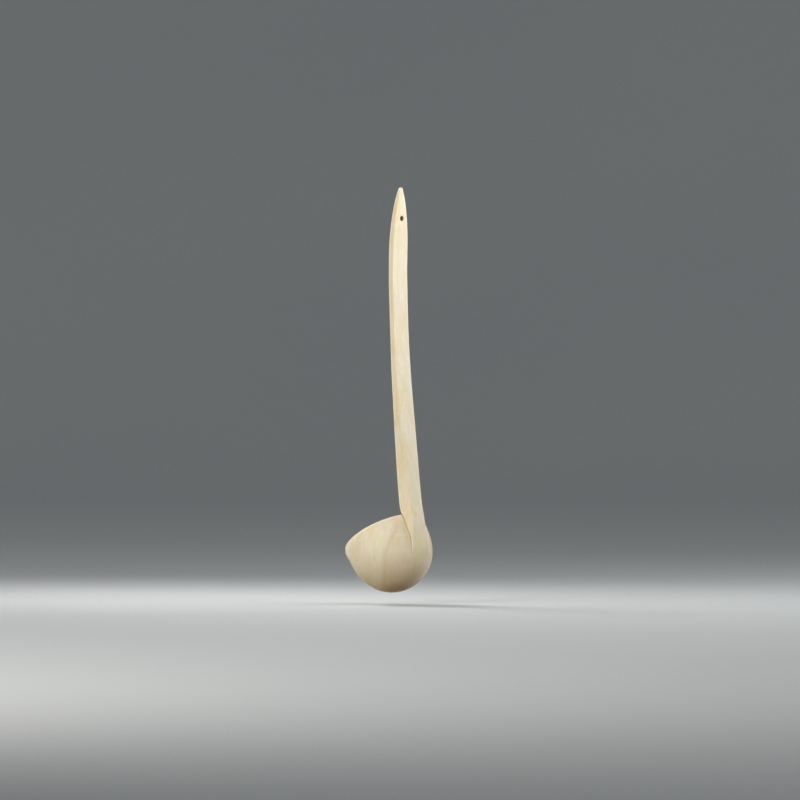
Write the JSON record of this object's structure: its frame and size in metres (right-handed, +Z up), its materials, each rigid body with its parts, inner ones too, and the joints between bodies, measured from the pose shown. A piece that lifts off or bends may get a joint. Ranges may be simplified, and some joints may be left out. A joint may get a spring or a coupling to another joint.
{
  "type": "wooden ladle",
  "caption": "Deep round wooden ladle with a tall, gently curved flat handle, a pointed top and a drilled hanging hole.",
  "frame": {"origin": "middle of the hanging hole, half way through the handle's thickness", "axes": "+Z up the handle to its pointed tip, +Y out of the handle's back face along the hanging hole, the bowl opening towards -Y, X across the handle with X = 0 the plane of symmetry"},
  "size_m": [0.0704, 0.0726, 0.3405],
  "materials": {
    "linden_wood": "bare, smooth cut and sanded"
  },
  "bodies": {
    "root": {"bowl": "linden_wood", "handle": "linden_wood"}
  },
  "joints": []
}
